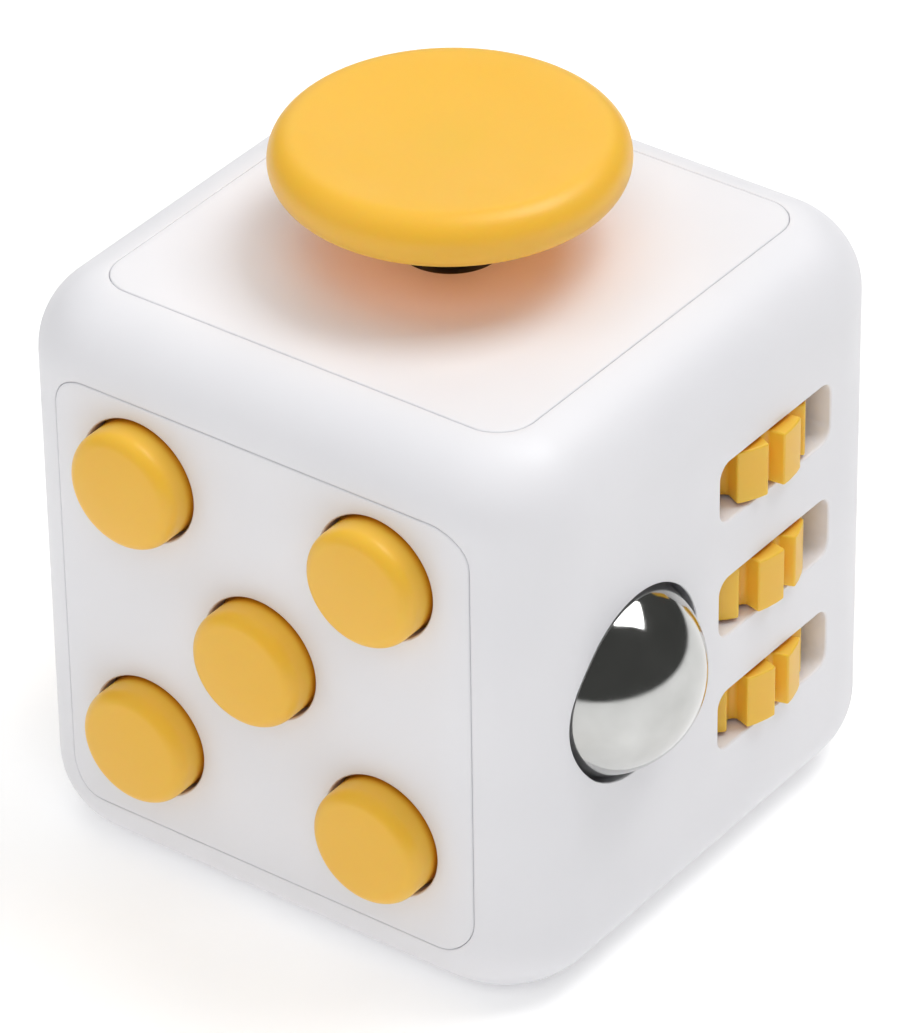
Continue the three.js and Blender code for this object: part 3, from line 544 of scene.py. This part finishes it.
def build_housing():
    body = block("housing_shell", HALF, 0, SIDE, EDGE_R, RIM_R)
    hollow = block("hollow", HALF - WALL, WALL, SIDE - WALL, EDGE_R - WALL, RIM_R - WALL, 6, 4)
    combine(body, [hollow] + [opening_cutter(f) for f in ("top", "bottom", "front", "back", "left")])
    posts = []
    bores = []
    for screw in ("ball_screw_1", "ball_screw_2", "wheel_screw_1", "wheel_screw_2"):
        at = on_face("right", centre_mm(screw))
        tip = on_face("right", box_mm(screw)[0]).z + 0.9
        r = 1.6 if screw.startswith("ball") else 1.3
        posts.append(peg(at.x, at.y, r, tip + 0.85, -1.5, "right"))
        bores.append(peg(at.x, at.y, SCREW_BORE, tip - 1, tip + 4.4, "right", 12))
    combine(body, posts, "UNION")
    combine(body, bores + [ball_cutter(), socket_mouth()])
    for wheel in WHEELS:
        at = on_face("right", centre_mm(wheel))
        slot = rect_cutter(*SLOT_HALF, SLOT_CORNER, WALL + 1, "right", (AXLE.x, at.y), 0.12)
        combine(body, [slot])
    return stand_in(smooth(body), "housing")


build_housing()

# ---- Plates -------------------------------------------------------------------------------

STICK_HOLE_R = 2.65
BUTTONS = [f"button_cap_{i}" for i in range(1, 6)]
BUTTON_HOLE_R = 3.46


def screw_bosses(face, screws, r, base, depth):
    """Posts on a plate's inside, each with a blind bore, where these screws go."""
    pegs, bores = [], []
    for screw in screws:
        at = on_face(face, centre_mm(screw))
        pegs.append(peg(at.x, at.y, r, base, -0.9, face))
        bores.append(peg(at.x, at.y, SCREW_BORE, base - 1, depth, face, 12))
    return pegs, bores


def build_top():
    body = plate_body("top_plate", "top")
    screws = [f"joystick_screw_{i}" for i in (1, 2, 3)]
    pegs, bores = screw_bosses("top", screws, 1.5, -2.0, -0.7)
    combine(body, pegs, "UNION")
    combine(body, bores + [round_cutter(0, 0, STICK_HOLE_R, 4, "top", 0.18, 64)])
    return stand_in(smooth(body), "top_panel")


def build_front():
    body = plate_body("front_plate", "front")
    screws = [f"button_screw_{i}" for i in (1, 2, 3)]
    pegs, bores = screw_bosses("front", screws, 1.5, -3.85, -1.0)
    combine(body, pegs, "UNION")
    holes = []
    for node in BUTTONS:
        at = on_face("front", centre_mm(node))
        holes.append(round_cutter(at.x, at.y, BUTTON_HOLE_R, 3, "front", 0.12))
    combine(body, bores + holes)
    return stand_in(smooth(body), "front_panel")


def build_bottom():
    """Plate with the shallow thumb dish."""
    body = plate_body("dish_plate", "bottom")
    rim_r, depth, lip = 9.4, 1.7, 0.5
    combine(body, [peg(0, 0, 10.8, -3.0, -0.8, "bottom", 48)], "UNION")
    bowl_r = (rim_r ** 2 + depth ** 2) / 2 / depth
    reach = math.degrees(math.asin(rim_r / bowl_r))
    profile = arc(0, bowl_r - depth, bowl_r, -90, -90 + reach * 0.93, 14)
    profile[0] = (0, -depth)
    last = Vector(profile[-1])
    profile += [(last.x + lip * 0.45, last.y + lip * 0.14), (rim_r + 0.15, -0.045),
                (rim_r + 0.65, 0.012), (rim_r + 0.7, 1), (0, 1)]
    combine(body, [turned("cutter", profile, FACES["bottom"], 64)])
    return stand_in(smooth(body), "bottom_panel")


def build_left():
    body = plate_body("switch_plate", "left")
    screws = [f"rocker_screw_{i}" for i in (1, 2)]
    pegs, bores = screw_bosses("left", screws, 1.4, -7.7, -3.6)
    pin = on_face("left", centre_mm("rocker_pin"))
    for side in (1, -1):
        ear = [rect_ring(0.62, 1.8, 0.3, w, (side * 4.98, 0), 3) for w in (pin.z - 1.6, -1.0)]
        pegs.append(loft("ear", ear, FACES["left"]))
    combine(body, pegs, "UNION")
    cross = FACES["left"] @ Matrix.Translation(pin) @ Matrix.Rotation(math.pi / 2, 4, "Y")
    bore = turned("bore", [(0, -7), (0.81, -7), (0.81, 7), (0, 7)], cross, 16)
    hole = rect_cutter(4.25, 8.6, 0.8, PLATE + 0.3, "left", lip=0.16)
    combine(body, bores + [bore, hole])
    return stand_in(smooth(body), "left_panel")


def build_back():
    body = plate_body("dial_plate", "back")
    combine(body, [peg(0, 0, 4.4, -3.2, -0.8, "back", 32)], "UNION")
    combine(body, [round_cutter(0, 0, 9.9, 0.7, "back", 0.15, 64),
                   peg(0, 0, 2.66, -5, 0, "back", 32)])
    return stand_in(smooth(body), "back_panel")


build_top()
build_front()
build_bottom()
build_left()
build_back()

# ---- Joystick -----------------------------------------------------------------------------


def build_joystick():
    low, high = box_mm("joystick_cap")
    cap_r, top, cone_foot = high.x, high.z - SIDE, low.z - SIDE
    under = cone_foot + 1.7
    middle, round_r = (under + top) / 2, (top - under) / 2
    dish_r, dish_depth, crisp = 7.1, 0.5, 24
    profile = [(0, under + 1.5), (1.0, under + 1.5)]
    profile += rounded([(1.0, under), (1.0, cone_foot, 0.1), (1.9, cone_foot, 0.3),
                        (5.0, under - 0.02, 1.2), (cap_r - round_r, under)], 6)
    profile += arc(cap_r - round_r, middle, round_r, -90, 86, 28)
    # The flat rim rolls over into a wide shallow dish: a soft minimum of the two.
    start = profile[-1][0]
    for i in range(1, 37):
        r = start * (1 - i / 36)
        bowl = -dish_depth * (1 - (r / dish_r) ** 2)
        profile.append((r, top - 0.002 - math.log(math.exp(-bowl * crisp) + 1) / crisp))
    cap = turned("joystick_disc", profile, FACES["top"], 72)
    stand_in(smooth(cap, 50), "joystick_cap")

    pivot, dome_r, neck, dome_foot = -5.0, 4.53, 1.3, -2.4
    first = math.degrees(math.asin((dome_foot - pivot) / dome_r))
    last = math.degrees(math.acos(neck / dome_r))
    stem = rounded([(0, -9.0), (1.5, -9.0, 0.3), (1.5, -7.1), (2.7, -6.9, 0.1),
                    (2.7, -6.4, 0.1), (1.5, -6.2), (1.5, dome_foot)])
    stem += arc(0, pivot, dome_r, first, last, 16)
    tenon = cone_foot - 0.05
    stem += [(neck, tenon), (0.9, tenon), (0.9, under + 1.4), (0, under + 1.4)]
    body = turned("joystick_post", stem, FACES["top"], 40)
    cross = FACES["top"] @ Matrix.Translation((0, 0, pivot)) @ Matrix.Rotation(math.pi / 2, 4, "X")
    pin = turned("pin", [(0, -4), (0.5, -4), (0.5, 4), (0, 4)], cross, 16)
    combine(body, [pin], "UNION")
    stand_in(smooth(body), "joystick_stem")


build_joystick()

# ---- Buttons ------------------------------------------------------------------------------


def build_buttons():
    """Thick round caps: straight side, soft shoulder and a low crown."""
    low, high = box_mm(BUTTONS[0])
    proud, flange_r = -low.y - HALF, (high.x - low.x) / 2
    cap_r, shoulder, crown = 3.28, 0.8, 0.16
    profile = rounded([
        (0, -2.6), (1.2, -2.6, 0.15), (1.2, -2.1), (flange_r, -2.1, 0.15),
        (flange_r, -1.3, 0.15), (cap_r, -1.3)], 4)
    profile += arc(cap_r - shoulder, proud - crown - shoulder, shoulder, 0, 80, 14)
    edge = Vector(profile[-1])
    for i in range(1, 11):
        r = edge.x * (1 - i / 10)
        profile.append((r, proud - (proud - edge.y) * (r / edge.x) ** 2.4))
    for node in BUTTONS:
        at = on_face("front", centre_mm(node))
        place = FACES["front"] @ Matrix.Translation((at.x, at.y, 0))
        cap = turned(node.replace("cap", "top"), profile, place, 40)
        stand_in(smooth(cap, 40), node)


build_buttons()

# ---- Ball ---------------------------------------------------------------------------------


def build_ball():
    profile = [(max(r, 0), h) for r, h in arc(0, 0, BALL_R, -90, 90, 64)]
    profile[0], profile[-1] = (0, -BALL_R), (0, BALL_R)
    place = FACES["right"] @ Matrix.Translation(BALL)
    stand_in(smooth(turned("ball_steel", profile, place, 64), 60), "steel_ball")


build_ball()

# ---- Thumb wheels -------------------------------------------------------------------------

WHEEL = {"tip": 5.2, "root": 4.2, "teeth": 11, "share": 0.62, "bore": 1.08}
PHASES = (-25.7, -11.3, -17.7)


def tooth_outline(phase):
    """Outline of a wheel: broad teeth with slanting flanks and rounded valleys."""
    step = 2 * math.pi / WHEEL["teeth"]
    tip = step * WHEEL["share"] / 2
    root = tip + step * 0.05
    span = WHEEL["tip"] - WHEEL["root"]
    points = []
    for k in range(WHEEL["teeth"]):
        middle = k * step + math.radians(phase)
        valley = [(WHEEL["root"], root + (step - 2 * root) * t) for t in (0.3, 0.7)]
        rise = [(WHEEL["root"] + span * 0.12, -root - 0.005), (WHEEL["tip"], -tip)]
        crown = [(WHEEL["tip"], -tip * 0.4), (WHEEL["tip"], tip * 0.4)]
        fall = [(WHEEL["tip"], tip), (WHEEL["root"] + span * 0.12, root + 0.005)]
        for r, off in rise + crown + fall + valley:
            points.append((r * math.cos(middle + off), r * math.sin(middle + off)))
    return points


def bevel_sharp(obj, width, segments, angle=25):
    modifier = obj.modifiers.new("edge", "BEVEL")
    modifier.width = width * MM
    modifier.segments = segments
    modifier.limit_method = "ANGLE"
    modifier.angle_limit = math.radians(angle)
    modifier.use_clamp_overlap = True
    settle(obj)
    return obj


def build_wheels():
    for node, phase in zip(WHEELS, PHASES):
        low, high = box_mm(node)
        axis = centre_mm("wheel_axle")
        place = Matrix.Translation((axis.x, axis.y, 0))
        rings = [[(x, y, z) for x, y in tooth_outline(phase)] for z in (low.z, high.z)]
        wheel = loft(node.replace("thumb", "toothed"), rings, place)
        bevel_sharp(wheel, 0.34, 5)
        bore = [(0, low.z - 1), (WHEEL["bore"], low.z - 1), (WHEEL["bore"], high.z + 1),
                (0, high.z + 1)]
        combine(wheel, [turned("bore", bore, place, 24)])
        stand_in(smooth(wheel, 30), node)


build_wheels()

# ---- Rocker switch ------------------------------------------------------------------------

ROCKER = {"tilt": 12, "half_width": 4.0, "reach": 7.2, "floor": 2.607, "skirt": -8,
          "valley": 0.5, "belly": -2.2, "boss_half": 2.2, "boss_foot": 3.6,
          "pin_bore": 0.84, "well_r": 0.98, "well_top": -1.3}


def build_rocker():
    """Paddle with a shallow V on top, round ends and a plunger boss underneath."""
    pin = on_face("left", centre_mm("rocker_pin"))
    slope = math.tan(math.radians(ROCKER["tilt"]))
    crest = ROCKER["floor"] + ROCKER["reach"] * slope
    end_r = math.hypot(ROCKER["reach"], crest)
    start = math.degrees(math.atan2(crest, ROCKER["reach"]))
    right = arc(0, 0, end_r, ROCKER["skirt"], start, 10)
    left = [(-x, y) for x, y in reversed(right)]
    valley = []
    for i in range(1, 16):
        t = 1 - i / 8
        x = ROCKER["reach"] * t
        valley.append((x, ROCKER["floor"] + slope * math.sqrt(x * x + ROCKER["valley"])))
    half, foot, belly = ROCKER["boss_half"], ROCKER["boss_foot"], ROCKER["belly"]
    outline = [(half, belly), *right, *valley, *left]
    outline += [(-half, belly), (-half, -foot), (half, -foot)]
    wide = ROCKER["half_width"]
    rings = [[(w, x, y) for x, y in outline] for w in (-wide, wide)]
    place = (FACES["left"] @ Matrix.Translation(pin)
             @ Matrix.Rotation(math.radians(ROCKER["tilt"]), 4, "X"))
    paddle = loft("rocker_paddle", rings, place)
    bevel_sharp(paddle, 0.35, 5, 40)
    cross = place @ Matrix.Rotation(math.pi / 2, 4, "Y")
    bore_r, well_r, well_top = ROCKER["pin_bore"], ROCKER["well_r"], ROCKER["well_top"]
    bore = turned("bore", [(0, -6), (bore_r, -6), (bore_r, 6), (0, 6)], cross, 20)
    well = turned("bore", [(0, -6), (well_r, -6), (well_r, well_top), (0, well_top)], place, 20)
    combine(paddle, [bore, well])
    stand_in(smooth(paddle, 35), "rocker")


build_rocker()

# ---- Dial ---------------------------------------------------------------------------------


DIAL = {"shaft_r": 2.0, "shaft_foot": -3.3, "back": -0.6, "soft": 0.15, "rim": 0.7}
DIMPLE = {"at": 4.8, "r": 3.3, "depth": 0.85}


def build_dial():
    """Disc on a short shaft, with a finger dimple near its rim."""
    high = box_mm("dial")[1]
    r, proud = high.x, high.y - HALF
    shaft_r, shaft_foot, back = DIAL["shaft_r"], DIAL["shaft_foot"], DIAL["back"]
    profile = rounded([
        (0, shaft_foot, 0), (shaft_r, shaft_foot, DIAL["soft"]), (shaft_r, back, 0),
        (r, back, DIAL["soft"]), (r, proud, DIAL["rim"]), (r - 2, proud, 0), (0, proud, 0)], 8)
    body = turned("dial_disc", profile, FACES["back"], 72)
    dimple_r, depth = DIMPLE["r"], DIMPLE["depth"]
    ball_r = (dimple_r ** 2 + depth ** 2) / 2 / depth
    reach = math.degrees(math.asin(dimple_r / ball_r))
    bowl = arc(0, ball_r - depth, ball_r, -90, -90 + reach * 0.9, 12)
    bowl[0] = (0, -depth)
    bowl += [(dimple_r + 0.02, -0.09), (dimple_r + 0.3, -0.012), (dimple_r + 0.45, 0.03),
             (dimple_r + 0.45, 1), (0, 1)]
    place = FACES["back"] @ Matrix.Translation((0, DIMPLE["at"], proud))
    combine(body, [turned("cutter", bowl, place, 48), peg(0, 0, SCREW_BORE, -6, -1.2, "back", 12)])
    stand_in(smooth(body, 32), "dial")


build_dial()

# ---- Sprung domes -------------------------------------------------------------------------

DOME_KINDS = ("snap", "silicone", "snap", "silicone", "snap")


def pressed_dome(node, axis):
    """A copy of the CAD dome under a button or the ball, standing in for it."""
    source = frame["nodes"][node]
    low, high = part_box(node)
    along = max(range(3), key=lambda i: abs(axis[i]))
    foot = [(a + b) / 2 for a, b in zip(low, high)]
    foot[along] = high[along] if axis[along] > 0 else low[along]
    dome = bpy.data.objects.new(node + "_sprung", source.data.copy())
    bpy.context.scene.collection.objects.link(dome)
    dome.matrix_world = source.matrix_world.copy()
    stand_in(dome, node)
    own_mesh(dome)


def build_domes():
    for number, kind in enumerate(DOME_KINDS, 1):
        pressed_dome(f"{kind}_dome_{number}", (0, 1, 0))
    pressed_dome("ball_click_dome", (-1, 0, 0))


build_domes()

# ---- Stage --------------------------------------------------------------------------------


def build_stage():
    floor = make_object("floor", [(-4000, -4000, 0), (4000, -4000, 0), (4000, 4000, 0),
                                  (-4000, 4000, 0)], [(0, 1, 2, 3)])
    material, nodes, links, shader, coords = node_material("floor")
    tone = remap(nodes, links, noise(nodes, links, coords, 6, 2), 0, 1)
    links.new(mix_colour(nodes, links, tone, (0.92, 0.92, 0.92), (0.9, 0.9, 0.9)),
              shader.inputs["Base Color"])
    shader.inputs["Roughness"].default_value = 0.9
    shader.inputs["Emission Color"].default_value = (1, 1, 1, 1)
    shader.inputs["Emission Strength"].default_value = 0.26
    floor.data.materials.append(material)


def area_light(name, at, aim, size, power):
    data = bpy.data.lights.new(name, "AREA")
    data.shape = "RECTANGLE"
    data.size, data.size_y = size
    data.energy = power
    obj = bpy.data.objects.new(name, data)
    bpy.context.scene.collection.objects.link(obj)
    obj.location = at
    obj.rotation_euler = (Vector(aim) - Vector(at)).to_track_quat("-Z", "Y").to_euler()
    return obj


def build_disc_glow():
    """Unseen warm lamp under the joystick disc, for the orange tint on the top face."""
    light = bpy.data.lights.new("disc_glow", "AREA")
    light.shape, light.size = "DISK", DISC_GLOW_SIZE
    light.color, light.energy = DISC_GLOW_COLOUR, DISC_GLOW_POWER
    glow = bpy.data.objects.new("disc_glow", light)
    bpy.context.scene.collection.objects.link(glow)
    glow.location = (0, 0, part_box("joystick_cap")[1][2] - DISC_GLOW_DROP)
    glow.visible_camera = glow.visible_glossy = False


def build_world():
    """Dim room round the softboxes."""
    world = bpy.data.worlds.new("studio")
    bpy.context.scene.world = world
    world.use_nodes = True
    nodes, links = world.node_tree.nodes, world.node_tree.links
    background = nodes["Background"]
    path = nodes.new("ShaderNodeLightPath")
    mix = nodes.new("ShaderNodeMix")
    mix.data_type = "RGBA"
    mix.inputs["A"].default_value = (0.06, 0.06, 0.06, 1)
    mix.inputs["B"].default_value = (0.08, 0.081, 0.078, 1)
    links.new(path.outputs["Is Glossy Ray"], mix.inputs["Factor"])
    links.new(mix.outputs["Result"], background.inputs["Color"])


# Direction towards each softbox, its side in metres, its power, and whether it is mirrored.
SOFTBOXES = {
    "overhead": ((0, 0, 1), 0.50, 1.10, False),
    "key": ((0.27, 0.36, 0.895), 0.27, 1.12, True),
    "front_left": ((-0.55, -0.75, 0.40), 0.40, 0.36, False),
    "front": ((0.45, -0.60, 0.65), 0.30, 0.70, False),
    "left": ((-0.50, -0.30, 0.80), 0.35, 0.20, False),
    "back": ((-0.50, 0.66, 0.56), 0.45, 0.45, True),
}
REACH = 0.5

# The lamp under the joystick disc. It stands in for light let through by the plastic.
DISC_GLOW_POWER = 1.9e-4
DISC_GLOW_COLOUR = (1, 0.15, 0)
DISC_GLOW_SIZE = 15 * MM
DISC_GLOW_DROP = 4 * MM                # below the top of the disc


def build_lights():
    middle = Vector((0, 0, HALF)) * MM
    for name, (direction, size, power, mirrored) in SOFTBOXES.items():
        at = middle + Vector(direction).normalized() * REACH
        lamp = area_light(name, at, middle, (size, size), power)
        lamp.visible_glossy = mirrored


build_stage()
build_world()
build_lights()
build_disc_glow()

# ---- Camera -------------------------------------------------------------------------------

VIEW = {"azimuth": 36.803, "elevation": 34.127, "roll": -0.892, "distance": 357.134}
LENS = 241.26
SHIFT_X = -0.00523


def build_camera():
    azimuth, elevation = math.radians(VIEW["azimuth"]), math.radians(VIEW["elevation"])
    back = Vector((math.sin(azimuth) * math.cos(elevation),
                   -math.cos(azimuth) * math.cos(elevation), math.sin(elevation)))
    right = (-back).cross(Vector((0, 0, 1))).normalized()
    up = back.cross(right)
    turn = Matrix((right, up, back)).transposed().to_4x4()
    roll = Matrix.Rotation(math.radians(VIEW["roll"]), 4, "Z")
    data = bpy.data.cameras.new("camera")
    data.lens = LENS
    data.shift_x = SHIFT_X
    data.clip_start, data.clip_end = 0.01, 20
    camera = bpy.data.objects.new("camera", data)
    bpy.context.scene.collection.objects.link(camera)
    middle = Vector((0, 0, HALF)) * MM
    place = Matrix.Translation(middle + back * VIEW["distance"] * MM)
    camera.matrix_world = place @ turn @ roll
    bpy.context.scene.camera = camera


build_camera()
bpy.context.scene.view_settings.view_transform = "Standard"
